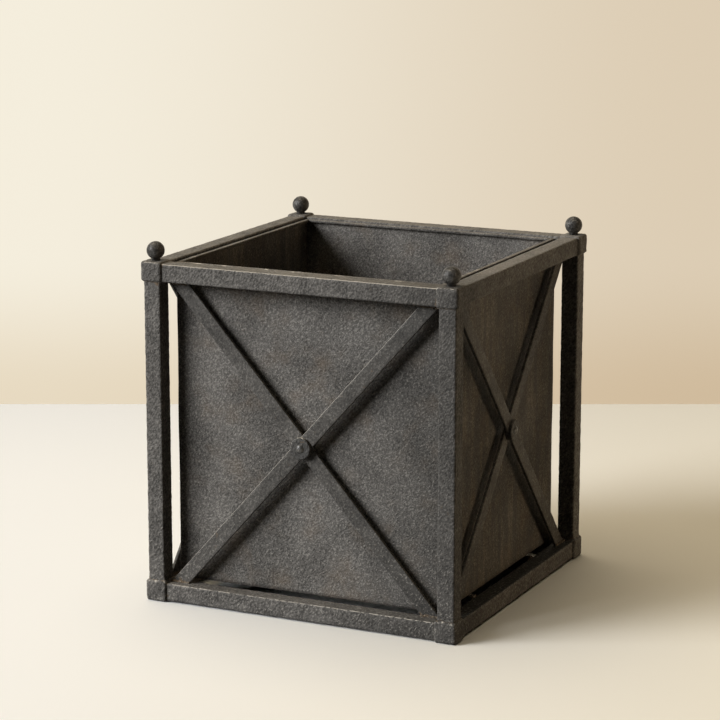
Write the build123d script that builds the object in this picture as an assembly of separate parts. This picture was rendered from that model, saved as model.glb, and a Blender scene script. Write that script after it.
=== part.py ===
from build123d import *
import os
from math import asin, atan2, degrees, hypot, sqrt

# Square planter of black wrought iron, in millimetres. The floor is Z = 0, the planter's axis is Z,
# and its front faces -Y. Square bars, tenoned into a cast block at each of the eight corners, make
# an open cube. Each side is braced by two crossed flat bars, held at the crossing by a cast boss
# and a rivet. A ball finial stands on each upper block. A sheet-iron liner holds the soil. It stands
# loose on two bearers welded across the bottom of the frame, and lifts straight out.

# Frame
overall_width = 500.0        # across the corner blocks
frame_height = 511.0         # floor to the tops of the upper corner blocks
bar_size = 27.0              # square bar of the posts and rails
bar_arris = 2.0              # hammered rounding along a bar's four long edges
top_rail_drop = 2.5          # upper block's top above the rail's top
bottom_rail_lift = 2.0       # bottom rail above the floor, so that only the blocks touch it

# Corner blocks
block_size = 34.0            # block's width and depth
block_arris = 4.5            # rounding of the upright edges and round the end away from the post
block_shoulder = 3.0         # bevel that runs down to the post
top_block_under = 1.0        # upper block reaches this far below its rails
foot_block_over = 4.0        # foot block reaches this far above its rails

# Tenons and mortises
tenon_size = 14.0
rail_tenon = 8.0             # length of a rail's tenon
post_tenon = 12.0            # length of a post's tenon
tenon_bevel = 1.0            # lead-in at a tenon's end
mortise_clearance = 0.15     # round a tenon's sides
mortise_bottom = 0.5         # beyond a tenon's end

# Ball finials
ball_diameter = 26.5
finial_gap = 1.0             # lowest point of the ball above the block
neck_diameter = 13.0
stud_diameter = 8.0
stud_length = 12.0
stud_clearance = 0.1         # radial, round the stud
stud_hole_extra = 1.0        # hole's depth beyond the stud's end

# Crossed braces
brace_width = 22.0
brace_thickness = 5.0
brace_arris = 0.8
brace_setback = 15.5         # rail's outer face to the outer brace's face

# Bosses and rivets
boss_diameter = 32.0
boss_thickness = 5.0         # in front of the outer brace
boss_round = 1.8             # rounding of the boss's rim
saddle_clearance = 0.15      # each side of the brace in the boss's channel
rivet_diameter = 6.0
rivet_clearance = 0.1        # radial, round the rivet
rivet_head_diameter = 13.0
rivet_head_height = 3.2
rivet_tail_diameter = 11.0
rivet_tail_height = 2.5

# Liner and its bearers
liner_gap = 7.0              # rail's inner face to the liner
liner_sheet = 1.5
liner_corner = 3.0           # outside bend radius of the liner's upright corners
least_bend = 0.2             # inside radius of a bend whose wall is as thick as its outside radius
liner_floor_sheet = 2.0
rim_drop = 2.0               # rail's top down to the liner's rim
hem_width = 6.5              # folded rim, measured inwards from the liner's outside
hem_depth = 4.0              # folded rim's downturned lip
hem_fold = 1.0               # outside radius of the rim's two folds
lip_corner = 1.7             # outside bend radius of the lip's upright corners
floor_clearance = 0.1        # liner's wall to the edge of its floor
drain_diameter = 20.0
bearer_thickness = 6.0
bearer_depth = 25.0
bearer_rise = 3.0            # bearer's top above the bottom rail's top
bearer_spacing = 220.0       # between the two bearers' centres

# Places worked out from the sizes above
corner = (overall_width - block_size) / 2
outer_face = corner + bar_size / 2
inner_face = corner - bar_size / 2
bottom_rail_top = bottom_rail_lift + bar_size
top_rail_top = frame_height - top_rail_drop
top_rail_under = top_rail_top - bar_size
foot_block_top = bottom_rail_top + foot_block_over
top_block_low = top_rail_under - top_block_under
rail_length = 2 * corner - block_size
post_length = top_block_low - foot_block_top
mortise_size = tenon_size + 2 * mortise_clearance
opening_middle = (bottom_rail_top + top_rail_under) / 2
lap_plane = outer_face - brace_setback - brace_thickness
liner_outer = inner_face - liner_gap
liner_base = bottom_rail_top + bearer_rise
liner_rim = top_rail_top - rim_drop

CORNERS = {"front_left": (-1, -1), "front_right": (1, -1), "back_right": (1, 1), "back_left": (-1, 1)}
SIDES = {"front": 0, "right": 90, "back": 180, "left": 270}


def save(shape, node):
    """Write one piece under its node's name."""
    export_step(shape, f"parts/{node}.step")


def tenon(length):
    """A square tenon that stands on Z = 0, with its end bevelled."""
    straight = Pos(0, 0, (length - tenon_bevel) / 2) * Box(tenon_size, tenon_size, length - tenon_bevel)
    wide = Pos(0, 0, length - tenon_bevel) * Rectangle(tenon_size, tenon_size)
    narrow = Pos(0, 0, length) * Rectangle(tenon_size - 2 * tenon_bevel, tenon_size - 2 * tenon_bevel)
    return straight + loft([wide, narrow])


def tenoned_bar(length, tenon_length):
    """A square bar along Z, centred, with a tenon at each end and its long edges rounded."""
    bar = extrude(RectangleRounded(bar_size, bar_size, bar_arris), length / 2, both=True)
    top = Pos(0, 0, length / 2) * tenon(tenon_length)
    bottom = Pos(0, 0, -length / 2) * Rot(180, 0, 0) * tenon(tenon_length)
    return bar + top + bottom


def corner_block(height, rail_middle, bevelled_sides):
    """A block whose outer sides face +X and +Y, with its post below it at Z = 0.

    Its upright edges and the end away from the post are rounded, and the post's end has a 45 degree
    bevel on the sides that face the given angles. rail_middle is the height of the two rails' centre
    lines above Z = 0.
    """
    half = block_size / 2
    block = Pos(0, 0, height / 2) * Box(block_size, block_size, height)
    block = fillet(block.edges().filter_by(Axis.Z) + block.edges().group_by(Axis.Z)[-1], block_arris)
    for angle in bevelled_sides:
        slope = Rot(0, 0, angle) * Pos(half, 0, block_shoulder) * Rot(0, 135, 0)
        block = split(block, Plane(slope), keep=Keep.BOTTOM)
    rail_depth = rail_tenon + mortise_bottom
    post_depth = post_tenon + mortise_bottom
    block -= Pos(-half + rail_depth / 2, 0, rail_middle) * Box(rail_depth, mortise_size, mortise_size)
    block -= Pos(0, -half + rail_depth / 2, rail_middle) * Box(mortise_size, rail_depth, mortise_size)
    block -= Pos(0, 0, post_depth / 2) * Box(mortise_size, mortise_size, post_depth)
    return block


def top_block():
    """Upper block, bevelled on its outer sides, with the hole for its finial's stud."""
    height = frame_height - top_block_low
    block = corner_block(height, top_block_under + bar_size / 2, (0, 90))
    depth = stud_length + stud_hole_extra
    hole = Cylinder(stud_diameter / 2 + stud_clearance, depth)
    return block - Pos(0, 0, height - depth / 2) * hole


def foot_block():
    """Lower block, bevelled all round, and turned over, so that its post is above it."""
    block = corner_block(foot_block_top, foot_block_over + bar_size / 2, (0, 90, 180, 270))
    return mirror(block, Plane.XY)


def finial():
    """Turned ball, neck and stud in one piece, standing on Z = 0."""
    radius = ball_diameter / 2
    neck = neck_diameter / 2
    stud = stud_diameter / 2
    middle = finial_gap + radius
    meet = middle - sqrt(radius**2 - neck**2)
    profile = make_face([
        Line((0, -stud_length), (stud, -stud_length)),
        Line((stud, -stud_length), (stud, 0)),
        Line((stud, 0), (neck, 0)),
        Line((neck, 0), (neck, meet)),
        ThreePointArc((neck, meet), (radius, middle), (0, middle + radius)),
        Line((0, middle + radius), (0, -stud_length)),
    ])
    return revolve(Plane.XZ * profile, Axis.Z)


def brace_angle():
    """Slope of a brace whose two edges run into the corners between the rails and the blocks."""
    half_width = rail_length / 2
    half_height = (top_rail_under - bottom_rail_top) / 2
    diagonal = hypot(half_width, half_height)
    return degrees(atan2(half_height, half_width) + asin(brace_width / 2 / diagonal))


def brace(rising, outer):
    """One flat bar of the front side: cut level at the rails, and bored for the rivet."""
    angle = brace_angle() if rising else -brace_angle()
    low = lap_plane if outer else lap_plane - brace_thickness
    section = RectangleRounded(brace_thickness, brace_width, brace_arris)
    bar = extrude(Plane.YZ * section, overall_width, both=True)
    bar = Pos(0, -low - brace_thickness / 2, opening_middle) * Rot(0, -angle, 0) * bar
    height = top_rail_under - bottom_rail_top
    bar &= Pos(0, -low, opening_middle) * Box(overall_width, 4 * brace_thickness, height)
    bore = Cylinder(rivet_diameter / 2 + rivet_clearance, 4 * brace_thickness)
    return bar - Pos(0, -low, opening_middle) * Rot(90, 0, 0) * bore


def boss(rising):
    """Cast boss of the front side: a rounded disc with a channel that straddles the outer brace."""
    angle = brace_angle() if rising else -brace_angle()
    height = boss_thickness + brace_thickness
    disc = Pos(0, 0, height / 2) * Cylinder(boss_diameter / 2, height)
    disc = fillet(disc.edges().group_by(Axis.Z)[-1], boss_round)
    channel = Box(2 * boss_diameter, brace_width + 2 * saddle_clearance, 2 * brace_thickness)
    disc -= Rot(0, 0, angle) * channel
    disc -= Pos(0, 0, height / 2) * Cylinder(rivet_diameter / 2 + rivet_clearance, height)
    return Pos(0, -lap_plane, opening_middle) * Rot(90, 0, 0) * disc


def dome(diameter, height):
    """A rivet's domed head on Z = 0: the cap of a sphere."""
    radius = (diameter**2 / 4 + height**2) / (2 * height)
    ball = Pos(0, 0, height - radius) * Sphere(radius)
    return ball & (Pos(0, 0, height / 2) * Box(diameter, diameter, height))


def rivet():
    """Rivet of the front side, through the boss and both braces."""
    grip = boss_thickness + 2 * brace_thickness
    shank = Pos(0, 0, grip / 2) * Cylinder(rivet_diameter / 2, grip)
    head = Pos(0, 0, grip) * dome(rivet_head_diameter, rivet_head_height)
    tail = Rot(180, 0, 0) * dome(rivet_tail_diameter, rivet_tail_height)
    whole = shank + head + tail
    return Pos(0, brace_thickness - lap_plane, opening_middle) * Rot(90, 0, 0) * whole


def square_tube(outer, wall, height, corner_radius):
    """Upright square tube on Z = 0, from its half width outside and its wall."""
    inner = outer - wall
    outside = RectangleRounded(2 * outer, 2 * outer, corner_radius)
    inside = RectangleRounded(2 * inner, 2 * inner, max(corner_radius - wall, least_bend))
    return extrude(outside - inside, height)


def liner_walls():
    """Four folded walls with an inward hem: up, across the rim, and down as a lip."""
    height = liner_rim - liner_base
    walls = square_tube(liner_outer, liner_sheet, height, liner_corner)
    rim = Pos(0, 0, height - liner_sheet) * square_tube(liner_outer, hem_width, liner_sheet, liner_corner)
    lip_outer = liner_outer - hem_width + liner_sheet
    lip = Pos(0, 0, height - hem_depth) * square_tube(lip_outer, liner_sheet, hem_depth, lip_corner)
    shell = walls + rim + lip
    shell = fillet(shell.edges().group_by(Axis.Z)[-1], hem_fold)
    return Pos(0, 0, liner_base) * shell


def liner_floor():
    """Flat floor plate let into the foot of the walls, with a drain hole in the middle."""
    width = 2 * (liner_outer - liner_sheet - floor_clearance)
    corner_radius = max(liner_corner - liner_sheet, least_bend)
    plate = RectangleRounded(width, width, corner_radius) - Circle(drain_diameter / 2)
    return Pos(0, 0, liner_base) * extrude(plate, liner_floor_sheet)


def bearer(y):
    """Flat bar on edge, welded between the left and right bottom rails."""
    middle = liner_base - bearer_depth / 2
    return Pos(0, y, middle) * Box(2 * inner_face, bearer_thickness, bearer_depth)


os.makedirs("parts", exist_ok=True)

post = Pos(0, 0, (foot_block_top + top_block_low) / 2) * tenoned_bar(post_length, post_tenon)
for name, (sx, sy) in CORNERS.items():
    turn = degrees(atan2(sy, sx)) - 45
    place = Pos(sx * corner, sy * corner, 0)
    save(place * post, f"post_{name}")
    save(place * Pos(0, 0, top_block_low) * Rot(0, 0, turn) * top_block(), f"top_block_{name}")
    save(place * Pos(0, 0, foot_block_top) * Rot(0, 0, turn) * foot_block(), f"foot_block_{name}")
    save(place * Pos(0, 0, frame_height) * finial(), f"finial_{name}")

rail = Pos(0, -corner, 0) * Rot(0, 90, 0) * tenoned_bar(rail_length, rail_tenon)
for name, angle in SIDES.items():
    side = Rot(0, 0, angle)
    # The outer brace rises to the right on the front and back, and falls to the right between.
    rising_outside = name in ("front", "back")
    save(side * Pos(0, 0, top_rail_under + bar_size / 2) * rail, f"top_rail_{name}")
    save(side * Pos(0, 0, bottom_rail_lift + bar_size / 2) * rail, f"bottom_rail_{name}")
    save(side * brace(rising_outside, True), f"brace_outer_{name}")
    save(side * brace(not rising_outside, False), f"brace_inner_{name}")
    save(side * boss(rising_outside), f"boss_{name}")
    save(side * rivet(), f"rivet_{name}")

save(bearer(-bearer_spacing / 2), "bearer_front")
save(bearer(bearer_spacing / 2), "bearer_back")
save(liner_walls(), "liner_walls")
save(liner_floor(), "liner_floor")
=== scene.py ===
from math import asin, atan2, cos, hypot, pi, radians, sin, tan

import bmesh
import bpy
from mathutils import Matrix, Vector, noise


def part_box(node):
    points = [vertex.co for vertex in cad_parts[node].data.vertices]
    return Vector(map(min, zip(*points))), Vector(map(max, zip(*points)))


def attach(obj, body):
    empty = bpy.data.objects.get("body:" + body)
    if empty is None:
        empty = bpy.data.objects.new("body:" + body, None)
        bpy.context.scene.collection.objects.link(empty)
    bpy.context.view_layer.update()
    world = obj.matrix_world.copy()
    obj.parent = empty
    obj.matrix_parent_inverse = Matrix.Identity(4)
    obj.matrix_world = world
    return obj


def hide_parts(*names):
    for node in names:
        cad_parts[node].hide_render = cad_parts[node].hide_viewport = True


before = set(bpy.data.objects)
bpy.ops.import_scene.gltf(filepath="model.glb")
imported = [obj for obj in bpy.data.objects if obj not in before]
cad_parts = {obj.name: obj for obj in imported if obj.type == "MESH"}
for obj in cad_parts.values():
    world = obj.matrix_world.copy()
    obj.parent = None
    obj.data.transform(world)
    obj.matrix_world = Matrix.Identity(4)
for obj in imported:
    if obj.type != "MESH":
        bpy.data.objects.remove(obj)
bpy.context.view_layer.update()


# Posts and rails
# Twelve lengths of square wrought bar, hammered over on the anvil, so that every face is dented and no
# arris runs quite straight. Their ends are let into the corner blocks and welded there. Their black
# finish has rubbed off along the arrises, with a painted highlight along those that face the light, and
# what faces up is paler, partly settled dust and partly painted top light.

bar_grid = 0.002              # edge of one mesh face
bar_arris = 0.002             # rounding of the bar's long edges
bar_into_block = 0.004        # end hidden in the block
dent_depth = 0.0004
dent_size = 0.008
nick_depth = 0.0005           # extra loss along an arris
nick_size = 0.011
wear_width = 0.002            # rubbed band beside an arris
nook_reach = 0.01             # how far dust reaches from a joint

iron_deep = (0.07, 0.0665, 0.062, 1)
bar_tones = (iron_deep, (0.137, 0.1295, 0.12, 1), (0.225, 0.213, 0.197, 1))
# Near-black colour of the painted shade toward the right front, and of a painted shadow on the right bottom
# rail.
painted_shade_black = (0.02, 0.02, 0.019, 1)
# Pale iron of rubbed arrises and flecks, and of the painted highlight on arrises that face the light.
worn_or_lit_iron = (0.5, 0.465, 0.405, 1)
rust_brown = (0.2, 0.145, 0.096, 1)
# Pale colour on faces that face up: partly settled dust, partly painted top light.
pale_dust_and_top_light = (0.2, 0.18, 0.15, 1)
painted_bounce_tint = (1.0, 0.9, 0.76)   # painted warm bounce light: what the colour of faces turned to the right is multiplied by
stroke_lean = (0, 0.8, 0.785)       # turn of the skin's short strokes
stroke_length = 2.6           # in widths
streak_squeeze = 0.12         # streaks change this much slower down a piece than across it
# Way toward the lamps: arrises that face it carry a painted highlight.
light_side_way = (-0.45, -0.25, 0.86)
wear_back_to_front = (0.3, -0.2)    # where hands hardly rub the arrises, and where they rub them most
least_low_wear = 0.7          # share of that wear at the ground
full_wear_height = 0.3
splash_heights = (0.2, 0.05)  # where the rain's splashes begin to bare the iron, and where they are full
least_low_dust_and_light = 0.3          # share of the dust and painted top light near the ground
dust_and_light_heights = (0.05, 0.4)    # where it is least, and where it is full
dust_and_light_patch = 0.03
painted_shade_across = (0.0, 0.25)     # painted shade, from none to full, to the right and to the front
painted_shade_forward = (-0.1, -0.2)
ledge_shadow_across = (0.2, 0.22)    # painted shadow on the ledge of the right bottom rail, which is blacker still
ledge_shadow_height = (0.09, 0.04)
ledge_shadow_strength = 2.0

SIDES = {"front": 0, "right": 90, "back": 180, "left": 270}
CORNERS = {"front_left": (-1, -1), "front_right": (1, -1), "back_right": (1, 1), "back_left": (-1, 1)}


def put(tree, kind, inputs=(), **settings):
    """Add one node. Inputs are values or sockets, given in order or by name."""
    node = tree.nodes.new(kind)
    for name, value in settings.items():
        setattr(node, name, value)
    pairs = inputs.items() if isinstance(inputs, dict) else enumerate(inputs)
    for key, value in pairs:
        if isinstance(value, bpy.types.NodeSocket):
            tree.links.new(value, node.inputs[key])
        elif value is not None:
            node.inputs[key].default_value = value
    return node


def calc(tree, operation, *values):
    """One Math node's result."""
    return put(tree, "ShaderNodeMath", values, operation=operation).outputs[0]


def vector_calc(tree, operation, *values):
    """One Vector Math node's vector result."""
    return put(tree, "ShaderNodeVectorMath", values, operation=operation).outputs[0]


def along(tree, vector, way):
    """How far a place or a facing goes along a way."""
    return put(tree, "ShaderNodeVectorMath", [vector, tuple(way)], operation="DOT_PRODUCT").outputs["Value"]


def scaled(tree, vector, factor):
    """A vector times a number."""
    return put(tree, "ShaderNodeVectorMath", {0: vector, "Scale": factor}, operation="SCALE").outputs[0]


def ramp(tree, value, low, high):
    """A smooth step of value, 0 at low and 1 at high."""
    inputs = {"Value": value, "From Min": low, "From Max": high}
    return put(tree, "ShaderNodeMapRange", inputs, interpolation_type="SMOOTHSTEP").outputs[0]


def noise_at(tree, place, size, detail=2.0):
    """Noise whose blotches are about size metres across."""
    inputs = {"Vector": place, "Scale": calc(tree, "DIVIDE", 1.0, size), "Detail": detail}
    return put(tree, "ShaderNodeTexNoise", inputs).outputs["Fac"]


def new_tree(name, kind, inputs, outputs):
    """A node tree with named sockets: the tree, what is given to it, and its end node's inputs."""
    tree = bpy.data.node_groups.new(name, kind)
    for label, socket, value in inputs:
        item = tree.interface.new_socket(label, in_out="INPUT", socket_type=socket)
        if value is not None:
            item.default_value = value
    for label, socket in outputs:
        tree.interface.new_socket(label, in_out="OUTPUT", socket_type=socket)
    start = tree.nodes.new("NodeGroupInput")
    end = tree.nodes.new("NodeGroupOutput")
    return tree, start.outputs, end.inputs


def forged_bar_tree():
    """Geometry nodes for one forged piece: a box with rounded long edges, sheared, placed and dented.

    The piece is made along its own Z. Lean shears its ends, arris is 1 along its long edges, and nook
    is 1 at its ends.
    """
    tree, given, end = new_tree("forged_bar", "GeometryNodeTree", [
        ("Geometry", "NodeSocketGeometry", None),
        ("Size", "NodeSocketVector", (0.027, 0.027, 0.4)), ("Arris", "NodeSocketFloat", 0.002),
        ("Grid", "NodeSocketFloat", 0.002), ("Lean", "NodeSocketFloat", 0.0),
        ("Turn", "NodeSocketVector", (0, 0, 0)), ("Place", "NodeSocketVector", (0, 0, 0)),
        ("Dent depth", "NodeSocketFloat", 0.0003), ("Dent size", "NodeSocketFloat", 0.009),
        ("Nick depth", "NodeSocketFloat", 0.0006), ("Nick size", "NodeSocketFloat", 0.014),
        ("Wear width", "NodeSocketFloat", 0.0024), ("Nook reach", "NodeSocketFloat", 0.016),
        ("Material", "NodeSocketMaterial", None),
    ], [("Geometry", "NodeSocketGeometry")])
    size = put(tree, "ShaderNodeSeparateXYZ", [given["Size"]]).outputs
    fewest_points = 4.0
    counts = []
    for side in size:
        steps = calc(tree, "ROUND", calc(tree, "DIVIDE", side, given["Grid"]))
        counts.append(calc(tree, "MAXIMUM", calc(tree, "ADD", steps, 1.0), fewest_points))
    box = put(tree, "GeometryNodeMeshCube", [given["Size"], *counts]).outputs["Mesh"]

    place = put(tree, "GeometryNodeInputPosition").outputs[0]
    x, y, z = put(tree, "ShaderNodeSeparateXYZ", [place]).outputs
    halves = [calc(tree, "MULTIPLY", side, 0.5) for side in size]
    near = [calc(tree, "SUBTRACT", half, calc(tree, "ABSOLUTE", axis))
            for half, axis in zip(halves, (x, y, z))]

    # The line of points next to each long edge moves to where the rounding starts.
    drawn = []
    for half, axis, depth, side, count in zip(halves, (x, y), near, size, counts):
        cell = calc(tree, "DIVIDE", side, calc(tree, "SUBTRACT", count, 1.0))
        second = calc(tree, "COMPARE", depth, cell, calc(tree, "MULTIPLY", cell, 0.5))
        flat = calc(tree, "SUBTRACT", half, given["Arris"])
        start = calc(tree, "MULTIPLY", calc(tree, "SIGN", axis), flat)
        shift = calc(tree, "SUBTRACT", start, axis)
        drawn.append(calc(tree, "MULTIPLY_ADD", second, shift, axis))
    drawn_place = put(tree, "ShaderNodeCombineXYZ", [*drawn, z]).outputs[0]
    kept = put(tree, "GeometryNodeSetPosition", {"Geometry": box, "Position": drawn_place}).outputs[0]

    arris = ramp(tree, calc(tree, "MAXIMUM", near[0], near[1]), given["Wear width"], 0.0)
    nook = ramp(tree, near[2], given["Nook reach"], 0.0)
    for name, value in (("arris", arris), ("nook", nook)):
        store = {"Geometry": kept, "Name": name, "Value": value}
        kept = put(tree, "GeometryNodeStoreNamedAttribute", store, data_type="FLOAT").outputs[0]

    cores = []
    for half, axis in zip(halves[:2], (x, y)):
        flat = calc(tree, "SUBTRACT", half, given["Arris"])
        under = calc(tree, "MINIMUM", axis, flat)
        cores.append(calc(tree, "MAXIMUM", under, calc(tree, "MULTIPLY", flat, -1.0)))
    core = put(tree, "ShaderNodeCombineXYZ", [*cores, z]).outputs[0]
    outward = vector_calc(tree, "NORMALIZE", vector_calc(tree, "SUBTRACT", place, core))
    rounded = vector_calc(tree, "ADD", core, scaled(tree, outward, given["Arris"]))
    on_skin = calc(tree, "LESS_THAN", calc(tree, "MINIMUM", near[0], near[1]), 1e-6)
    formed = put(tree, "GeometryNodeSetPosition", {
        "Geometry": kept, "Selection": on_skin, "Position": rounded}).outputs[0]
    shear = put(tree, "ShaderNodeCombineXYZ", {"Z": calc(tree, "MULTIPLY", x, given["Lean"])}).outputs[0]
    leaning = put(tree, "GeometryNodeSetPosition", {"Geometry": formed, "Offset": shear}).outputs[0]
    turn = put(tree, "FunctionNodeEulerToRotation", [given["Turn"]]).outputs[0]
    set_down = put(tree, "GeometryNodeTransform", {
        "Geometry": leaning, "Translation": given["Place"], "Rotation": turn}).outputs[0]

    # Hammer blows cover most of the skin, and only some arrises are nicked.
    here = put(tree, "GeometryNodeInputPosition").outputs[0]
    edge = put(tree, "GeometryNodeInputNamedAttribute", ["arris"], data_type="FLOAT").outputs["Attribute"]
    blows = ramp(tree, noise_at(tree, here, given["Dent size"]), 0.3, 0.7)
    nicks = ramp(tree, noise_at(tree, here, given["Nick size"], 1.0), 0.45, 0.75)
    dent = calc(tree, "MULTIPLY", blows, given["Dent depth"])
    nick = calc(tree, "MULTIPLY", calc(tree, "MULTIPLY", nicks, edge), given["Nick depth"])
    loss = calc(tree, "MULTIPLY", calc(tree, "ADD", dent, nick), -1.0)
    inward = scaled(tree, put(tree, "GeometryNodeInputNormal").outputs[0], loss)
    dented = put(tree, "GeometryNodeSetPosition", {"Geometry": set_down, "Offset": inward}).outputs[0]
    smooth = put(tree, "GeometryNodeSetShadeSmooth", {"Geometry": dented}).outputs[0]
    real = put(tree, "GeometryNodeRealizeInstances", {"Geometry": smooth}).outputs[0]
    last = put(tree, "GeometryNodeSetMaterial", {"Geometry": real, "Material": given["Material"]})
    tree.links.new(last.outputs[0], end["Geometry"])
    return tree


def iron_skin_group():
    """Tone and height of a dull hammered skin, and its flecks of bare metal.

    It has large blotches, fine grain, and short strokes that lean one way.
    """
    tree, given, end = new_tree("iron_skin", "ShaderNodeTree", [
        ("Place", "NodeSocketVector", None),
        ("Blotch size", "NodeSocketFloat", 0.05), ("Grain size", "NodeSocketFloat", 0.003),
        ("Stroke size", "NodeSocketFloat", 0.004), ("Stroke share", "NodeSocketFloat", 0.5),
        ("Blotch share", "NodeSocketFloat", 0.35),
    ], [("Tone", "NodeSocketFloat"), ("Height", "NodeSocketFloat"), ("Fleck", "NodeSocketFloat")])
    slanted = put(tree, "ShaderNodeMapping", {
        "Vector": given["Place"], "Rotation": stroke_lean, "Scale": (1, 1, stroke_length),
    }, vector_type="TEXTURE")
    blotch = ramp(tree, noise_at(tree, given["Place"], given["Blotch size"], 4.0), 0.32, 0.68)
    grain = noise_at(tree, given["Place"], given["Grain size"], 1.0)
    stroke = noise_at(tree, slanted.outputs[0], given["Stroke size"], 1.0)
    leaning = calc(tree, "MULTIPLY", calc(tree, "SUBTRACT", stroke, grain), given["Stroke share"])
    fine = calc(tree, "ADD", grain, leaning)
    spread = ramp(tree, fine, 0.3, 0.7)
    apart = calc(tree, "MULTIPLY", calc(tree, "SUBTRACT", blotch, spread), given["Blotch share"])
    tree.links.new(calc(tree, "ADD", spread, apart), end["Tone"])
    tree.links.new(fine, end["Height"])
    tree.links.new(ramp(tree, calc(tree, "MULTIPLY", grain, stroke), 0.34, 0.43), end["Fleck"])
    return tree


def rubbed_and_lit_arris_group():
    """Where the finish has rubbed off, and where a highlight is painted: a broken line along the arrises.

    Where an arris faces the light the line is stronger, and there it is a painted highlight. It is also
    stronger toward the front and high up.
    """
    tree, given, end = new_tree("rubbed_and_lit_arris", "ShaderNodeTree", [
        ("Place", "NodeSocketVector", None), ("Arris", "NodeSocketFloat", 0.0),
        ("Toward", "NodeSocketFloat", 0.0), ("Break size", "NodeSocketFloat", 0.007),
        ("Amount", "NodeSocketFloat", 0.2), ("Lit side amount", "NodeSocketFloat", 0.3),
    ], [("Mask", "NodeSocketFloat")])
    breaks = noise_at(tree, given["Place"], given["Break size"], 3.0)
    _, y, z = put(tree, "ShaderNodeSeparateXYZ", [given["Place"]]).outputs
    height = ramp(tree, z, 0.0, full_wear_height)
    high = calc(tree, "MULTIPLY_ADD", height, 1 - least_low_wear, least_low_wear)
    handled = calc(tree, "MULTIPLY", ramp(tree, y, *wear_back_to_front), high)
    lit_and_handled = calc(tree, "MULTIPLY", ramp(tree, given["Toward"], 0.3, 0.8), handled)
    facing = calc(tree, "MULTIPLY", lit_and_handled, given["Lit side amount"])
    level = calc(tree, "SUBTRACT", 0.85, calc(tree, "ADD", given["Amount"], facing))
    broken = ramp(tree, breaks, calc(tree, "SUBTRACT", level, 0.06), calc(tree, "ADD", level, 0.1))
    line = ramp(tree, given["Arris"], 0.45, 0.9)
    tree.links.new(calc(tree, "MULTIPLY", broken, line), end["Mask"])
    return tree


def brown_dust_group():
    """Brown rust and dirt that gather in the joints and lie thinly in patches elsewhere."""
    tree, given, end = new_tree("brown_dust", "ShaderNodeTree", [
        ("Place", "NodeSocketVector", None), ("Nook", "NodeSocketFloat", 0.0),
        ("Patch size", "NodeSocketFloat", 0.02), ("Everywhere", "NodeSocketFloat", 0.1),
        ("Softness", "NodeSocketFloat", 0.2), ("Strength", "NodeSocketFloat", 0.8),
    ], [("Mask", "NodeSocketFloat")])
    patches = noise_at(tree, given["Place"], given["Patch size"], 4.0)
    reach = calc(tree, "ADD", calc(tree, "MULTIPLY", given["Nook"], 0.3), given["Everywhere"])
    level = calc(tree, "SUBTRACT", 0.75, reach)
    lying = ramp(tree, patches, level, calc(tree, "ADD", level, given["Softness"]))
    tree.links.new(calc(tree, "MULTIPLY", lying, given["Strength"]), end["Mask"])
    return tree


def films_and_painted_light_group():
    """Where films of dust, painted light and painted shade lie.

    Dust and top light, on what faces up and thinner low down, is partly settled dust and partly painted top
    light. Brown is painted warm bounce light on faces turned to the right, and Streak is dark runs of
    painted shade in it. Painted shade darkens the front toward that side, and a painted shadow blackens
    that side's lowest ledge.
    """
    tree, given, end = new_tree("films_and_painted_light", "ShaderNodeTree", [
        ("Place", "NodeSocketVector", None), ("Facing", "NodeSocketVector", None),
        ("Streak width", "NodeSocketFloat", 0.006), ("Streak share", "NodeSocketFloat", 0.5),
    ], [("Dust and top light", "NodeSocketFloat"), ("Brown", "NodeSocketFloat"), ("Streak", "NodeSocketFloat"),
        ("Painted shade", "NodeSocketFloat")])
    across, _, up = put(tree, "ShaderNodeSeparateXYZ", [given["Facing"]]).outputs
    x, y, z = put(tree, "ShaderNodeSeparateXYZ", [given["Place"]]).outputs
    drawn_out = put(tree, "ShaderNodeMapping", {
        "Vector": given["Place"], "Scale": (1, 1, streak_squeeze)}).outputs[0]
    streaks = ramp(tree, noise_at(tree, drawn_out, given["Streak width"], 3.0), 0.3, 0.7)
    # Faces that face up turn paler, partly as settled dust and partly as painted top light.
    patches = ramp(tree, noise_at(tree, given["Place"], dust_and_light_patch, 3.0), 0.25, 0.65)
    high = calc(tree, "MULTIPLY_ADD", ramp(tree, z, *dust_and_light_heights), 1 - least_low_dust_and_light, least_low_dust_and_light)
    flat = calc(tree, "MULTIPLY", ramp(tree, up, 0.6, 0.97), high)
    tree.links.new(calc(tree, "MULTIPLY", flat, patches), end["Dust and top light"])
    # Painted warm bounce light on faces turned to the right, with dark runs of painted shade in it.
    painted_bounce = ramp(tree, across, 0.35, 0.85)
    weight = calc(tree, "MULTIPLY", calc(tree, "SUBTRACT", streaks, 1.0), given["Streak share"])
    tree.links.new(calc(tree, "MULTIPLY", painted_bounce, calc(tree, "ADD", weight, 1.0)), end["Brown"])
    tree.links.new(calc(tree, "MULTIPLY", painted_bounce, calc(tree, "SUBTRACT", 1.0, streaks)), end["Streak"])
    # Painted shade toward the right front, and a painted shadow on the top of the right bottom rail.
    front = calc(tree, "MULTIPLY", ramp(tree, x, *painted_shade_across), ramp(tree, y, *painted_shade_forward))
    low = calc(tree, "MULTIPLY", ramp(tree, x, *ledge_shadow_across), ramp(tree, z, *ledge_shadow_height))
    ledge = calc(tree, "MULTIPLY", calc(tree, "MULTIPLY", low, ramp(tree, up, 0.4, 0.9)), ledge_shadow_strength)
    tree.links.new(calc(tree, "MAXIMUM", front, ledge), end["Painted shade"])
    return tree


forged_bar = forged_bar_tree()
iron_skin = iron_skin_group()
rubbed_and_lit_arris = rubbed_and_lit_arris_group()
brown_dust = brown_dust_group()
films_and_painted_light = films_and_painted_light_group()


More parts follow.
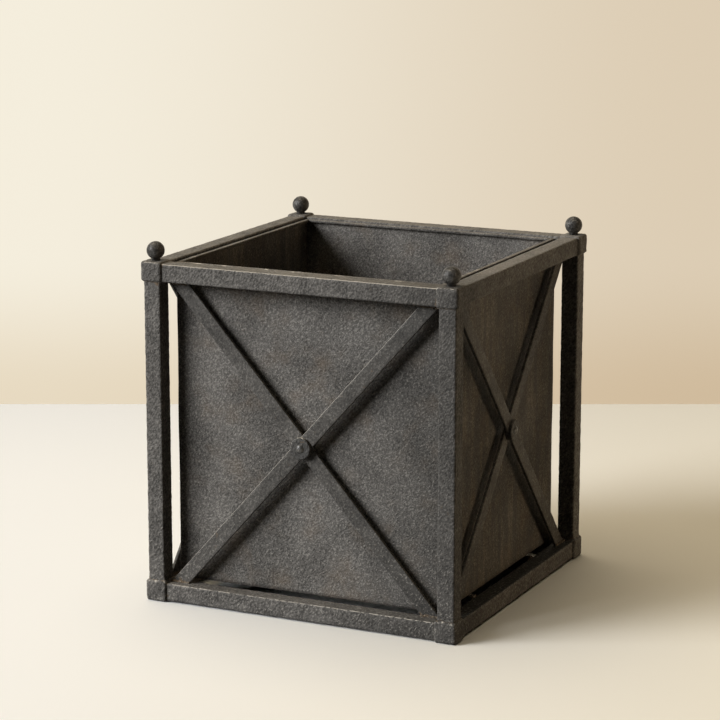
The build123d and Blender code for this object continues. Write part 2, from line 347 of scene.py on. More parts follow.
def mix(tree, factor, below, above):
    """One colour laid over another."""
    return put(tree, "ShaderNodeMix", {0: factor, 6: below, 7: above}, data_type="RGBA").outputs[2]


def film(tree, below, mask, share, above):
    """A colour laid over another where the mask says, as far as share."""
    return mix(tree, calc(tree, "MULTIPLY", mask, share), below, above)


def use_group(tree, group, inputs):
    """Place a shader group in a material and give its outputs."""
    return put(tree, "ShaderNodeGroup", inputs, node_tree=group).outputs


def side_radius(tree, place, height):
    """Distance from the level line that goes through a side's middle at the given height."""
    x, y, z = put(tree, "ShaderNodeSeparateXYZ", [place]).outputs
    aside = calc(tree, "MINIMUM", calc(tree, "ABSOLUTE", x), calc(tree, "ABSOLUTE", y))
    above = calc(tree, "SUBTRACT", z, height)
    return calc(tree, "SQRT", calc(tree, "ADD", calc(tree, "MULTIPLY", aside, aside),
                                   calc(tree, "MULTIPLY", above, above)))


def iron_material(name, tones, skin, wear, dirt, weather, bump, gloss, shine, rim=None):
    """A dull black iron finish, with painted light and shade laid into its colour.

    tones are its deep, middle and pale colour. gloss is the roughness of the palest and of the deepest
    tone, shine is how strongly the finish reflects, and bump is the depth of its grain.
    rim, for a round piece on a side, is the height of its middle and the radii between which it is rubbed.
    """
    material = bpy.data.materials.new(name)
    material.use_nodes = True
    tree = material.node_tree
    shader = tree.nodes["Principled BSDF"]
    place = put(tree, "ShaderNodeTexCoord").outputs["Object"]
    facing = put(tree, "ShaderNodeNewGeometry").outputs["Normal"]
    # How far a face turns toward the lamps, for the painted highlight on the arrises.
    toward = along(tree, facing, light_side_way)
    if rim:
        arris = ramp(tree, side_radius(tree, place, rim[0]), rim[1], rim[2])
    else:
        arris = put(tree, "ShaderNodeAttribute", attribute_name="arris").outputs["Fac"]
    nook = put(tree, "ShaderNodeAttribute", attribute_name="nook").outputs["Fac"]
    deep, middle, pale = tones
    surface = use_group(tree, iron_skin, {"Place": place, **skin})
    tone = surface["Tone"]
    colour = mix(tree, ramp(tree, tone, 0.1, 0.5), deep, middle)
    colour = mix(tree, ramp(tree, tone, 0.5, 0.95), colour, pale)
    films = use_group(tree, films_and_painted_light, {"Place": place, "Facing": facing, **weather["group"]})
    # Painted warm bounce light on faces turned to the right, then dark runs of painted shade in it.
    tinted = vector_calc(tree, "MULTIPLY", colour, painted_bounce_tint)
    colour = film(tree, colour, films["Brown"], weather["brown"], tinted)
    colour = film(tree, colour, films["Streak"], weather["streak"], deep)
    lying = use_group(tree, brown_dust, {"Place": place, "Nook": nook, **dirt})["Mask"]
    colour = mix(tree, lying, colour, rust_brown)
    # Up-facing faces are paler: partly settled dust, partly painted top light.
    colour = film(tree, colour, films["Dust and top light"], weather["dust"], pale_dust_and_top_light)
    # Near-black painted shade toward the right front, and painted shadow on the right bottom rail's top.
    colour = film(tree, colour, films["Painted shade"], weather["painted_dark"], painted_shade_black)
    # Pale iron on the arrises: rubbed wear, with a painted highlight on those that face the light.
    worn_or_lit = use_group(tree, rubbed_and_lit_arris, {"Place": place, "Arris": arris, "Toward": toward, **wear})["Mask"]
    height = put(tree, "ShaderNodeSeparateXYZ", [place]).outputs["Z"]
    low = ramp(tree, height, *splash_heights)
    splashed = calc(tree, "MULTIPLY_ADD", low, weather["splash"], weather["fleck"])
    fleck = calc(tree, "MULTIPLY", surface["Fleck"], splashed)
    colour = mix(tree, calc(tree, "MAXIMUM", worn_or_lit, fleck), colour, worn_or_lit_iron)
    tree.links.new(colour, shader.inputs["Base Color"])
    smooth, rough = gloss
    dull = put(tree, "ShaderNodeMapRange", {
        "Value": tone, "From Min": 0.0, "From Max": 1.0, "To Min": rough, "To Max": smooth}).outputs[0]
    tree.links.new(dull, shader.inputs["Roughness"])
    shader.inputs["Specular IOR Level"].default_value = shine
    relief = put(tree, "ShaderNodeBump", {"Strength": 1.0, "Distance": bump, "Height": surface["Height"]})
    tree.links.new(relief.outputs[0], shader.inputs["Normal"])
    return material


# Shares of the films: brown is painted warm bounce light, streak painted shade, dust partly painted top
# light, and the near-black film painted shade.
plain_weather = {
    "group": {"Streak width": 0.006, "Streak share": 0.4},
    "brown": 0.6, "streak": 0.3, "dust": 0.5, "painted_dark": 0.45, "splash": 0.25, "fleck": 0.1,
}
bar_iron = iron_material(
    "hammered_bar_iron", bar_tones,
    skin={"Blotch size": 0.035, "Grain size": 0.002, "Stroke size": 0.0026,
          "Stroke share": 0.7, "Blotch share": 0.25},
    wear={"Break size": 0.006, "Amount": 0.06, "Lit side amount": 0.48},
    dirt={"Patch size": 0.01, "Everywhere": 0.08},
    weather=plain_weather, bump=0.0016, gloss=(0.42, 0.6), shine=0.1)


def grown(name, mesh, tree, values):
    """An object with a plain mesh that a geometry tree makes from a mesh and the values of its inputs."""
    piece = bpy.data.objects.new(name, mesh)
    bpy.context.scene.collection.objects.link(piece)
    maker = piece.modifiers.new("maker", "NODES")
    maker.node_group = tree
    for socket in tree.interface.items_tree:
        if socket.in_out == "INPUT" and socket.name in values:
            maker[socket.identifier] = values[socket.name]
    evaluated = piece.evaluated_get(bpy.context.evaluated_depsgraph_get())
    piece.data = bpy.data.meshes.new_from_object(evaluated)
    piece.modifiers.clear()
    piece.data.name = name
    return piece


def stand_for(piece, body, slot, *names):
    """Let a piece ride on its body in place of the solids of these names."""
    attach(piece, body)
    if names:
        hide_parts(*names)


def forge(name, slot, size, place, turn, material, lean=0.0, **settings):
    """Make one forged piece from the tree, and let it stand for the solid of its name."""
    values = {
        "Size": size, "Place": tuple(place), "Turn": turn, "Lean": lean, "Material": material,
        **{key.replace("_", " "): value for key, value in settings.items()},
    }
    mesh = bpy.data.meshes.new(name + "_forged")
    stand_for(grown(name + "_forged", mesh, forged_bar, values), "frame", slot, name)


def side_place(angle, x, y, z):
    """A point of the front side, turned about the planter's axis to another side."""
    return Matrix.Rotation(radians(angle), 3, "Z") @ Vector((x, y, z))


block_low, block_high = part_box("top_block_front_left")
_, foot_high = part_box("foot_block_front_left")
rail_low, rail_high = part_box("top_rail_front")
base_low, base_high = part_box("bottom_rail_front")
bar_size = rail_high.z - rail_low.z
corner = -(block_low.x + block_high.x) / 2
bar_settings = {
    "Arris": bar_arris, "Grid": bar_grid, "Dent_depth": dent_depth, "Dent_size": dent_size,
    "Nick_depth": nick_depth, "Nick_size": nick_size, "Wear_width": wear_width, "Nook_reach": nook_reach,
}
post_length = block_low.z - foot_high.z + 2 * bar_into_block
for name, (sx, sy) in CORNERS.items():
    middle = (sx * corner, sy * corner, (foot_high.z + block_low.z) / 2)
    forge(f"post_{name}", "forged_bar", (bar_size, bar_size, post_length), middle, (0, 0, 0), bar_iron,
          **bar_settings)

rail_length = 2 * (corner - (block_high.x - block_low.x) / 2) + 2 * bar_into_block
for name, angle in SIDES.items():
    for level, low, high in (("top", rail_low, rail_high), ("bottom", base_low, base_high)):
        middle = side_place(angle, 0, -corner, (low.z + high.z) / 2)
        forge(f"{level}_rail_{name}", "forged_bar", (bar_size, bar_size, rail_length), middle,
              (0, pi / 2, radians(angle)), bar_iron, **bar_settings)


# Corner blocks
# Eight iron castings. The upper ones take the ends of two rails, a post and a finial, and the lower ones
# are the planter's feet. They were cast in sand, so their skin is pitted and their edges are round, and
# each slopes down to its post in a short bevel.

block_round = 0.0045
rubbed_round = 0.6            # share of the rounding that is rubbed
block_bevel = 0.003
rubbed_and_lit_bevel = 1.4            # depth of the pale line on the bevel, partly rubbed and partly painted highlight, in bevels
block_cuts = 25               # lines across each face
pit_depth = 0.0009
pit_size = 0.0075
grit_depth = 0.00035
grit_size = 0.003
nook_width = 0.0025           # dirt round the post

block_iron = iron_material(
    "cast_block_iron", bar_tones,
    skin={"Blotch size": 0.02, "Grain size": 0.002, "Stroke size": 0.0028,
          "Stroke share": 0.5, "Blotch share": 0.3},
    wear={"Break size": 0.005, "Amount": 0.15, "Lit side amount": 0.2},
    dirt={"Patch size": 0.008, "Everywhere": 0.08},
    weather=plain_weather, bump=0.0016, gloss=(0.42, 0.6), shine=0.1)


def new_piece(name, mesh, material):
    """A smooth object in the scene, with one material."""
    mesh.materials.append(material)
    mesh.shade_smooth()
    piece = bpy.data.objects.new(name, mesh)
    bpy.context.scene.collection.objects.link(piece)
    return piece


def loss_at(place, size, depth):
    """How far sand pits or wear take the skin back at a place."""
    return depth * max(0.0, noise.noise(place / size))


def cast_block(name, far_end, bevelled):
    """One corner block. far_end is the way of its rounded end, away from the post: 1 up, -1 down.

    bevelled gives, for X and for Y, the side that slopes down to the post: 1, -1, or 0 for both.
    """
    low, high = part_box(name)
    middle, half = (low + high) / 2, (high - low) / 2
    shape = bmesh.new()
    bmesh.ops.create_cube(shape, size=2.0)
    bmesh.ops.subdivide_edges(shape, edges=shape.edges[:], cuts=block_cuts, use_grid_fill=True)
    arris = shape.verts.layers.float.new("arris")
    nook = shape.verts.layers.float.new("nook")
    flat = half - Vector((block_round, block_round, block_round))
    for vertex in shape.verts:
        at = Vector(c * h for c, h in zip(vertex.co, half))
        depth = half.z + far_end * at.z
        gaps = [half.x - abs(at.x), half.y - abs(at.y), half.z - far_end * at.z]
        edge = 1 - min(1.0, sorted(gaps)[1] / (rubbed_round * block_round))
        core = Vector((
            max(-flat.x, min(flat.x, at.x)), max(-flat.y, min(flat.y, at.y)),
            far_end * min(far_end * at.z, flat.z)))
        if (at - core).length > 0:
            at = core + (at - core).normalized() * block_round
        for axis, side in enumerate(bevelled):
            if depth < block_bevel and at[axis] * side >= 0:
                at[axis] *= 1 - (block_bevel - depth) / half[axis]
            # The bevel carries a pale line, partly rubbed iron and partly painted highlight.
            if depth < rubbed_and_lit_bevel * block_bevel and at[axis] * side >= 0 and gaps[axis] < 1e-6:
                edge = 1.0
        vertex[arris] = edge
        vertex[nook] = max(0.0, 1 - depth / nook_width)
        vertex.co = at + middle
    shape.normal_update()
    for vertex in shape.verts:
        loss = loss_at(vertex.co, pit_size, pit_depth) + loss_at(vertex.co, grit_size, grit_depth)
        vertex.co -= vertex.normal * loss
    mesh = bpy.data.meshes.new(name + "_cast")
    shape.to_mesh(mesh)
    shape.free()
    stand_for(new_piece(name + "_cast", mesh, block_iron), "frame", "cast_block", name)


for name, (sx, sy) in CORNERS.items():
    cast_block(f"top_block_{name}", 1, (sx, sy))
    cast_block(f"foot_block_{name}", -1, (0, 0))


# Ball finials
# Four iron balls turned in one piece with a neck and a threaded stud, and screwed into the upper blocks.
# Years of weather have roughened the turned surface.

ball_rings = 40
ball_sides = 64
neck_radius = 0.0065
stud_radius = 0.004
ball_pit_depth = 0.00035
ball_pit_size = 0.004

ball_tones = ((0.026, 0.025, 0.0235, 1), (0.06, 0.0575, 0.054, 1), (0.12, 0.115, 0.108, 1))
finial_iron = iron_material(
    "turned_finial_iron", ball_tones,
    skin={"Blotch size": 0.009, "Grain size": 0.0026, "Stroke size": 0.0034,
          "Stroke share": 0.4, "Blotch share": 0.35},
    wear={"Break size": 0.004, "Amount": 0.0, "Lit side amount": 0.1},
    dirt={"Patch size": 0.006, "Everywhere": 0.06},
    weather={"group": {"Streak width": 0.004, "Streak share": 0.5},
             "brown": 0.6, "streak": 0.3, "dust": 0.0, "painted_dark": 0.0, "splash": 0.0, "fleck": 0.1},
    bump=0.0014, gloss=(0.34, 0.46), shine=0.25)


def spun(name, line, x, y, sides):
    """A mesh turned about an upright axis at x, y.

    line holds points of radius and height, with both its ends on the axis.
    """
    points = [(x, y, line[0][1])]
    for radius, height in line[1:-1]:
        for step in range(sides):
            turn = 2 * pi * step / sides
            points.append((x + radius * cos(turn), y + radius * sin(turn), height))
    points.append((x, y, line[-1][1]))
    faces = []
    last = len(points) - 1
    rings = len(line) - 2
    for step in range(sides):
        beside = (step + 1) % sides
        faces.append((0, 1 + beside, 1 + step))
        for ring in range(rings - 1):
            start = 1 + ring * sides
            faces.append((start + step, start + beside, start + sides + beside, start + sides + step))
        top = 1 + (rings - 1) * sides
        faces.append((top + step, top + beside, last))
    mesh = bpy.data.meshes.new(name)
    mesh.from_pydata(points, [], faces)
    return mesh


for name in CORNERS:
    low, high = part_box(f"finial_{name}")
    radius = (high.x - low.x) / 2
    middle = Vector(((low.x + high.x) / 2, (low.y + high.y) / 2, high.z - radius))
    line = [(0, low.z), (stud_radius, low.z), (stud_radius, block_high.z), (neck_radius, block_high.z)]
    meet = asin(neck_radius / radius)
    for step in range(ball_rings + 1):
        turn = (pi - meet) * (1 - step / ball_rings)
        line.append((radius * sin(turn), middle.z + radius * cos(turn)))
    mesh = spun(f"finial_{name}_turned", line, middle.x, middle.y, ball_sides)
    for vertex in mesh.vertices:
        if vertex.co.z > block_high.z + neck_radius / 4:
            outward = (vertex.co - middle).normalized()
            vertex.co -= outward * loss_at(vertex.co, ball_pit_size, ball_pit_depth)
    stand_for(new_piece(mesh.name, mesh, finial_iron), "frame", "turned_finial", f"finial_{name}")


# Crossed braces
# Two flat bars cross on each side, the outer one lying over the inner. Their ends are cut level and
# welded to the rails. They were rolled, so they are flatter than the square bars. The thin bright line
# along the arrises that face the light is a painted highlight.

brace_width = 0.022
brace_arris = 0.0008
brace_overlap = 0.0005        # end let into the rail
brace_dent_depth = 0.00015
brace_dent_size = 0.02
brace_nick_depth = 0.0002
brace_wear_width = 0.0012
brace_nook = 0.012
weld_drop = 0.003             # how far a weld under a top rail runs down the brace

brace_tones = ((0.055, 0.0525, 0.049, 1), (0.1, 0.095, 0.088, 1), (0.175, 0.166, 0.153, 1))
brace_iron = iron_material(
    "rolled_brace_iron", brace_tones,
    skin={"Blotch size": 0.04, "Grain size": 0.0018, "Stroke size": 0.0028,
          "Stroke share": 0.5, "Blotch share": 0.35},
    # No rubbing of its own: its pale arris line is all painted highlight, on the arrises that face the
    # light.
    wear={"Break size": 0.02, "Amount": 0.0, "Lit side amount": 0.6},
    dirt={"Patch size": 0.009, "Everywhere": 0.1},
    weather=plain_weather, bump=0.0009, gloss=(0.42, 0.58), shine=0.12)

outer_low, outer_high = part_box("brace_outer_front")
inner_low, inner_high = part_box("brace_inner_front")
brace_rise = outer_high.z - outer_low.z
brace_reach = outer_high.x - outer_low.x
diagonal = hypot(brace_rise, brace_reach)
slope = atan2(brace_rise, brace_reach) + asin(brace_width / diagonal)
brace_length = (brace_rise + 2 * brace_overlap) / sin(slope)
opening_middle = (outer_low.z + outer_high.z) / 2
brace_settings = {
    "Arris": brace_arris, "Grid": bar_grid, "Dent_depth": brace_dent_depth, "Dent_size": brace_dent_size,
    "Nick_depth": brace_nick_depth, "Nick_size": nick_size, "Wear_width": brace_wear_width,
    "Nook_reach": brace_nook,
}
brace_foot = brace_rise / 2 / tan(slope)
end_half = brace_width / 2 / sin(slope)
weld_runs = []
for name, angle in SIDES.items():
    for layer, low, high in (("outer", outer_low, outer_high), ("inner", inner_low, inner_high)):
        rising = 1 if (layer == "outer") == (name in ("front", "back")) else -1
        size = (brace_width, high.y - low.y, brace_length)
        place = side_place(angle, 0, (low.y + high.y) / 2, opening_middle)
        turn = (0, rising * (pi / 2 - slope), radians(angle))
        forge(f"brace_{layer}_{name}", "brace_flat", size, place, turn, brace_iron,
              rising / tan(slope), **brace_settings)
        for end in (-1, 1):
            x = end * rising * brace_foot
            z = opening_middle + end * brace_rise / 2 - (end > 0) * weld_drop
            ends = [side_place(angle, x + half, low.y, z) for half in (-end_half, end_half)]
            weld_runs.append(tuple(ends))


# Bearers
# Two flat bars on edge, welded between the left and right bottom rails. The liner stands on them. They
# are the same black bar iron as the rails.

bearer_arris = 0.0008

for name in ("bearer_front", "bearer_back"):
    low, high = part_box(name)
    size = (high.z - low.z, high.y - low.y, high.x - low.x)
    forge(name, "forged_bar", size, (low + high) / 2, (0, pi / 2, 0), bar_iron,
          **{**bar_settings, "Arris": bearer_arris})
    for x in (low.x, high.x):
        for y in (low.y, high.y):
            weld_runs.append((Vector((x, y, low.z)), Vector((x, y, base_high.z))))


# Weld beads
# A row of overlapping lumps of weld metal along each end of a brace and of a bearer, rough, never ground
# off, and rustier than the bars.

bead_radius = 0.0027
bead_pitch = 0.0017
bead_wander = 0.0006
least_bead = 0.7              # smallest and largest lump, in radii
most_bead = 1.15
bead_seed = 7
bead_sides = 8
bead_rings = 5

weld_tones = (iron_deep, (0.13, 0.108, 0.084, 1), (0.26, 0.215, 0.165, 1))
weld_iron = iron_material(
    "rusty_weld_iron", weld_tones,
    skin={"Blotch size": 0.006, "Grain size": 0.0015, "Stroke size": 0.003,
          "Stroke share": 0.3, "Blotch share": 0.5},
    wear={"Break size": 0.004, "Amount": 0.0, "Lit side amount": 0.0},
    dirt={"Patch size": 0.005, "Everywhere": 0.32},
    weather=plain_weather, bump=0.0006, gloss=(0.5, 0.75), shine=0.05)


def weld_tree():
    """Geometry nodes that lay lumps along every edge of a mesh of weld runs."""
    tree, given, end = new_tree("weld_beads", "GeometryNodeTree", [
        ("Geometry", "NodeSocketGeometry", None),
        ("Radius", "NodeSocketFloat", 0.002), ("Pitch", "NodeSocketFloat", 0.002),
        ("Wander", "NodeSocketFloat", 0.0005), ("Seed", "NodeSocketInt", 0),
        ("Sides", "NodeSocketInt", 8), ("Rings", "NodeSocketInt", 5),
        ("Least", "NodeSocketFloat", 1.0), ("Most", "NodeSocketFloat", 1.0),
        ("Material", "NodeSocketMaterial", None),
    ], [("Geometry", "NodeSocketGeometry")])
    line = put(tree, "GeometryNodeMeshToCurve", {"Mesh": given["Geometry"]}).outputs[0]
    pitches = {"Curve": line, "Length": given["Pitch"]}
    evenly = put(tree, "GeometryNodeResampleCurve", pitches, mode="LENGTH").outputs[0]
    points = put(tree, "GeometryNodeCurveToPoints", {"Curve": evenly}, mode="EVALUATED").outputs[0]
    least = vector_calc(tree, "MULTIPLY", (-1, -1, -1), given["Wander"])
    most = vector_calc(tree, "MULTIPLY", (1, 1, 1), given["Wander"])
    wander = put(tree, "FunctionNodeRandomValue", {"Min": least, "Max": most, "Seed": given["Seed"]},
                 data_type="FLOAT_VECTOR").outputs[0]
    moved = put(tree, "GeometryNodeSetPosition", {"Geometry": points, "Offset": wander}).outputs[0]
    lump = put(tree, "GeometryNodeMeshUVSphere", {
        "Segments": given["Sides"], "Rings": given["Rings"], "Radius": given["Radius"]}).outputs[0]
    sizes = {"Min": given["Least"], "Max": given["Most"], "Seed": calc(tree, "ADD", given["Seed"], 1.0)}
    size = put(tree, "FunctionNodeRandomValue", sizes, data_type="FLOAT_VECTOR").outputs[0]
    laid = put(tree, "GeometryNodeInstanceOnPoints", {
        "Points": moved, "Instance": lump, "Scale": size}).outputs[0]
    smooth = put(tree, "GeometryNodeSetShadeSmooth", {"Geometry": laid}).outputs[0]
    real = put(tree, "GeometryNodeRealizeInstances", {"Geometry": smooth}).outputs[0]
    last = put(tree, "GeometryNodeSetMaterial", {"Geometry": real, "Material": given["Material"]})
    tree.links.new(last.outputs[0], end["Geometry"])
    return tree


run_ends = [end for run in weld_runs for end in run]
run_lines = [(2 * run, 2 * run + 1) for run in range(len(weld_runs))]
run_mesh = bpy.data.meshes.new("welds")
run_mesh.from_pydata(run_ends, run_lines, [])
welds = grown("welds", run_mesh, weld_tree(), {
    "Radius": bead_radius, "Pitch": bead_pitch, "Wander": bead_wander, "Seed": bead_seed,
    "Sides": bead_sides, "Rings": bead_rings, "Least": least_bead, "Most": most_bead,
    "Material": weld_iron})
stand_for(welds, "frame", "forged_bar")


# Bosses and rivets
# At each crossing a cast iron boss straddles the outer brace, and one domed rivet holds boss and braces
# together. They keep their solids' shapes, and the boss's rim and the rivet's crown are rubbed, paler
# still as a painted highlight where they face the light.

boss_low, boss_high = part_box("boss_front")
boss_radius = (boss_high.x - boss_low.x) / 2
rim_width = 0.002
crown_radius = 0.005

boss_tones = ((0.045, 0.044, 0.042, 1), (0.08, 0.078, 0.074, 1), (0.14, 0.136, 0.129, 1))
boss_iron = iron_material(
    "cast_boss_iron", boss_tones,
    skin={"Blotch size": 0.01, "Grain size": 0.0024, "Stroke size": 0.003,
          "Stroke share": 0.4, "Blotch share": 0.3},
    wear={"Break size": 0.006, "Amount": 0.06, "Lit side amount": 0.25},
    dirt={"Patch size": 0.008, "Everywhere": 0.1},
    weather=plain_weather, bump=0.0016, gloss=(0.4, 0.55), shine=0.12,
    rim=(opening_middle, boss_radius - rim_width, boss_radius - rim_width / 4))

rivet_tones = ((0.04, 0.039, 0.037, 1), (0.07, 0.068, 0.065, 1), (0.11, 0.107, 0.102, 1))
rivet_iron = iron_material(
    "rivet_iron", rivet_tones,
    skin={"Blotch size": 0.006, "Grain size": 0.0016, "Stroke size": 0.0024,
          "Stroke share": 0.4, "Blotch share": 0.4},
    wear={"Break size": 0.003, "Amount": 0.2, "Lit side amount": 0.1},
    dirt={"Patch size": 0.005, "Everywhere": 0.12},
    weather=plain_weather, bump=0.0004, gloss=(0.25, 0.4), shine=0.6,
    rim=(opening_middle, crown_radius, 0.0))


def dress(name, material):
    """Give a solid that stays as it is its finish."""
    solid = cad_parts[name]
    solid.data.materials.clear()
    solid.data.materials.append(material)


for name in SIDES:
    dress(f"boss_{name}", boss_iron)
    dress(f"rivet_{name}", rivet_iron)


# Liner
# A box of folded sheet iron that holds the soil and stands loose on the bearers. Its rim is folded inwards
# and down into a hem, and its floor is a plate with a drain hole. The big flat walls are a little wavy,
# mottled, and browner low down.

liner_sheet = 0.0015
liner_bend = 0.003            # outside radius of the upright corners
hem_width = 0.0065
hem_depth = 0.004
hem_fold = 0.001
lip_bend = 0.0017
least_bend = 0.0002
wall_cell = 0.006             # edge of one mesh face
corner_steps = 4
wave_depth = 0.0007
wave_size = 0.11
dimple_depth = 0.00025
dimple_size = 0.022
still_height = 0.06           # walls are stiff and flat below this height over their foot

liner_tones = ((0.066, 0.063, 0.0585, 1), (0.142, 0.1345, 0.1245, 1), (0.265, 0.251, 0.231, 1))
liner_iron = iron_material(
    "mottled_liner_iron", liner_tones,
    skin={"Blotch size": 0.1, "Grain size": 0.0019, "Stroke size": 0.0026,
          "Stroke share": 0.45, "Blotch share": 0.33},
    wear={"Break size": 0.012, "Amount": 0.1, "Lit side amount": 0.14},
    dirt={"Patch size": 0.04, "Everywhere": 0.28, "Softness": 0.4, "Strength": 0.4},
    # Brown is painted warm bounce light and streak painted shade, dust is partly painted top light, and the
    # near-black film is painted shade.
    weather={"group": {"Streak width": 0.012, "Streak share": 0.5},
             "brown": 0.9, "streak": 0.75, "dust": 0.4, "painted_dark": 0.45, "splash": 0.05, "fleck": 0.16},
    bump=0.0017, gloss=(0.42, 0.6), shine=0.08)


def rounded_square(half, bend, cells, steps):
    """Points and outward ways round a square with bent corners, the same number for any size."""
    ring = []
    straight = half - bend
    for quarter in range(4):
        turn = Matrix.Rotation(quarter * pi / 2, 2)
        for cell in range(cells + 1):
            offset = straight * (2 * cell / cells - 1)
            ring.append((turn @ Vector((half, offset)), turn @ Vector((1, 0))))
        for step in range(1, steps):
            angle = pi / 2 * step / steps
            way = Vector((cos(angle), sin(angle)))
            ring.append((turn @ (Vector((straight, straight)) + way * bend), turn @ way))
    return ring


def hem_section(base, rim):
    """The sheet's section as depth inside the wall's face, height, bend of the corners, and wear."""
    rows = round((rim - base) / wall_cell)
    inner = max(liner_bend - liner_sheet, least_bend)
    hem_inner = hem_width - liner_sheet
    section = [(0, base + (rim - hem_fold - base) * row / rows, liner_bend, 0.0) for row in range(rows + 1)]
    for turn in (pi / 6, pi / 3, pi / 2):
        section.append((hem_fold * (1 - cos(turn)), rim - hem_fold * (1 - sin(turn)), liner_bend, 1.0))
    for turn in (0, pi / 6, pi / 3, pi / 2):
        depth = hem_width - hem_fold * (1 - sin(turn))
        section.append((depth, rim - hem_fold * (1 - cos(turn)), least_bend, 0.9))
    section.append((hem_width, rim - hem_depth, least_bend, 0.4))
    section.append((hem_inner, rim - hem_depth, lip_bend, 0.0))
    section.append((hem_inner, rim - liner_sheet, lip_bend, 0.0))
    under_rim = rim - liner_sheet
    rows_down = [under_rim - (under_rim - base) * row / rows for row in range(rows + 1)]
    section += [(liner_sheet, height, inner, 0.0) for height in rows_down]
    return section


def liner_walls(name):
    """The walls and their hem as one closed sheet, swept round the square."""
    low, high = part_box(name)
    half = (high.x - low.x) / 2
    cells = round(2 * half / wall_cell)
    outside = rounded_square(half, liner_bend, cells, corner_steps)
    points, wear, dirt = [], [], []
    section = hem_section(low.z, high.z)
    for depth, height, bend, worn in section:
        stiff = min(1.0, (height - low.z) / still_height)
        ring = rounded_square(half - depth, bend, cells, corner_steps)
        for (point, way), (face, _) in zip(ring, outside):
            at = Vector((face.x, face.y, height))
            wave = wave_depth * noise.noise(at / wave_size) + dimple_depth * noise.noise(at / dimple_size)
            moved = point + way * (wave - wave_depth) * stiff
            points.append((moved.x, moved.y, height))
            wear.append(worn)
            dirt.append(max(0.0, 1 - (height - low.z) / still_height) / 3)
    round_count = len(outside)
    faces = []
    for row in range(len(section)):
        for step in range(round_count):
            here, there = row * round_count, (row + 1) % len(section) * round_count
            beside = (step + 1) % round_count
            faces.append((here + step, here + beside, there + beside, there + step))
    mesh = bpy.data.meshes.new(name + "_folded")
    mesh.from_pydata(points, [], faces)
    mesh.attributes.new("arris", "FLOAT", "POINT").data.foreach_set("value", wear)
    mesh.attributes.new("nook", "FLOAT", "POINT").data.foreach_set("value", dirt)
    return mesh


walls = new_piece("liner_walls_folded", liner_walls("liner_walls"), liner_iron)
stand_for(walls, "liner", "liner_sheet", "liner_walls")
dress("liner_floor", liner_iron)


# Floor, backdrop, lamps and camera
# A pale paper on the floor and a warm one behind, both darker and warmer toward the right as a painted
# falloff of light, and the wall darker at its foot as painted shade. A soft key lamp shines from the left
# front, a warm wide one from overhead, and a weak warm one comes back from the right.

view_turn = 25.48             # degrees from straight in front, to the right
view_rise = 12.40             # degrees above level
view_distance = 3.974
view_target = Vector((-0.0171, 0.0, 0.3370))
lens = 132.2
wall_behind = 1.14            # backdrop's foot behind the planter's middle

# The right-hand colours are darker and warmer as a painted falloff of light across the stage.
floor_left = (0.915, 0.935, 0.955, 1)
floor_right = (0.77, 0.74, 0.66, 1)
wall_left = (0.91, 0.852, 0.722, 1)
wall_right = (0.715, 0.605, 0.455, 1)
wall_foot = (0.88, 0.82, 0.74, 1)      # painted shade: what the wall's colour is multiplied by at its foot
wall_foot_height = 0.3
wall_height = 1.15
paper_reach = 6.0             # papers' half width
tone_reach = 0.7              # from the picture's middle to where the side colours are full

key_strength = 3.7
key_way = Vector((1.0, 0.93, -0.6))
key_spread = 34               # degrees across, which softens its shadows
overhead_strength = 1.75
overhead_way = Vector((0.24, -0.09, -1.0))
overhead_spread = 56
overhead_colour = (1.0, 0.85, 0.62)
side_strength = 0.56          # warm light that comes back from the right
side_way = Vector((-1.0, -0.15, -0.03))
side_spread = 20
side_colour = (1.0, 0.8, 0.56)
fill_strength = 0.005
bounce = 0.06                 # share of a paper's colour that it gives back to the planter


def plate(name, corners, material):
    """One flat plate of the stage. It keeps no lamp's light from the rest."""
    mesh = bpy.data.meshes.new(name)
    mesh.from_pydata([tuple(c) for c in corners], [], [(0, 1, 2, 3)])
    mesh.materials.append(material)
    made = bpy.data.objects.new(name, mesh)
    made.visible_shadow = False
    bpy.context.scene.collection.objects.link(made)


rise, turn = radians(view_rise), radians(view_turn)
back = Vector((sin(turn) * cos(rise), -cos(turn) * cos(rise), sin(rise)))
away = Vector((-sin(turn), cos(turn), 0))
across = Vector((cos(turn), sin(turn), 0))


def side_tone(tree, place, left, right):
    """A painted falloff of light: a colour that changes across the stage, along the picture's width."""
    return mix(tree, ramp(tree, along(tree, place, across), -tone_reach, tone_reach), left, right)


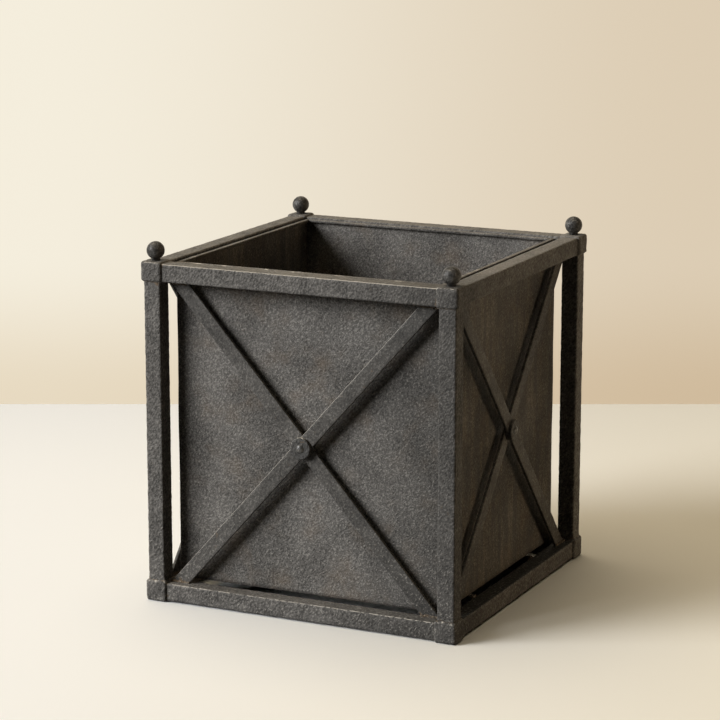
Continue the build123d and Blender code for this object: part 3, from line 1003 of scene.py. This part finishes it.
def paper(name, glowing, left, right, low_tone=(1, 1, 1, 1)):
    """Stage paper that is seen from its front only.

    It shows its full colour to the camera and gives a share of it back to the planter.
    """
    material = bpy.data.materials.new(name)
    material.use_nodes = True
    tree = material.node_tree
    tree.nodes.clear()
    place = put(tree, "ShaderNodeTexCoord").outputs["Object"]
    height = put(tree, "ShaderNodeSeparateXYZ", [place]).outputs["Z"]
    shade = mix(tree, ramp(tree, height, 0.0, wall_foot_height), low_tone, (1, 1, 1, 1))
    tone = vector_calc(tree, "MULTIPLY", side_tone(tree, place, left, right), shade)
    path = put(tree, "ShaderNodeLightPath").outputs
    seen = calc(tree, "MAXIMUM", path["Is Camera Ray"], path["Is Glossy Ray"])
    seen = calc(tree, "MAXIMUM", seen, path["Is Transmission Ray"])
    given_back = put(tree, "ShaderNodeBsdfDiffuse", {"Color": scaled(tree, tone, bounce)}).outputs[0]
    kind = "ShaderNodeEmission" if glowing else "ShaderNodeBsdfDiffuse"
    shown = put(tree, kind, {"Color": tone}).outputs[0]
    face = put(tree, "ShaderNodeMixShader", [seen, given_back, shown]).outputs[0]
    behind = put(tree, "ShaderNodeNewGeometry").outputs["Backfacing"]
    clear = put(tree, "ShaderNodeBsdfTransparent").outputs[0]
    both = put(tree, "ShaderNodeMixShader", [behind, face, clear]).outputs[0]
    put(tree, "ShaderNodeOutputMaterial", {"Surface": both})
    return material


floor_paper = paper("floor_paper", False, floor_left, floor_right)
wall_paper = paper("wall_paper", True, wall_left, wall_right, wall_foot)

foot = away * wall_behind
near = foot - away * 2 * paper_reach
aside = across * paper_reach
up = Vector((0, 0, wall_height))
plate("floor", [near - aside, near + aside, foot + aside, foot - aside], floor_paper)
plate("wall", [foot - aside, foot + aside, foot + aside + up, foot - aside + up], wall_paper)

camera_data = bpy.data.cameras.new("camera")
camera_data.lens = lens
camera = bpy.data.objects.new("camera", camera_data)
bpy.context.scene.collection.objects.link(camera)
camera.location = view_target + back * view_distance
camera.rotation_euler = back.to_track_quat("Z", "Y").to_euler()
bpy.context.scene.camera = camera


def lamp(name, strength, way, spread, colour=(1.0, 1.0, 1.0)):
    """A far lamp that shines along way."""
    light = bpy.data.lights.new(name, "SUN")
    light.energy = strength
    light.angle = radians(spread)
    light.color = colour
    made = bpy.data.objects.new(name, light)
    bpy.context.scene.collection.objects.link(made)
    made.rotation_euler = (-way).to_track_quat("Z", "Y").to_euler()


lamp("key", key_strength, key_way, key_spread)
lamp("overhead", overhead_strength, overhead_way, overhead_spread, overhead_colour)
lamp("side", side_strength, side_way, side_spread, side_colour)
world = bpy.data.worlds.new("fill")
bpy.context.scene.world = world
world.use_nodes = True
world.node_tree.nodes["Background"].inputs["Strength"].default_value = fill_strength

bpy.context.scene.view_settings.view_transform = "Standard"
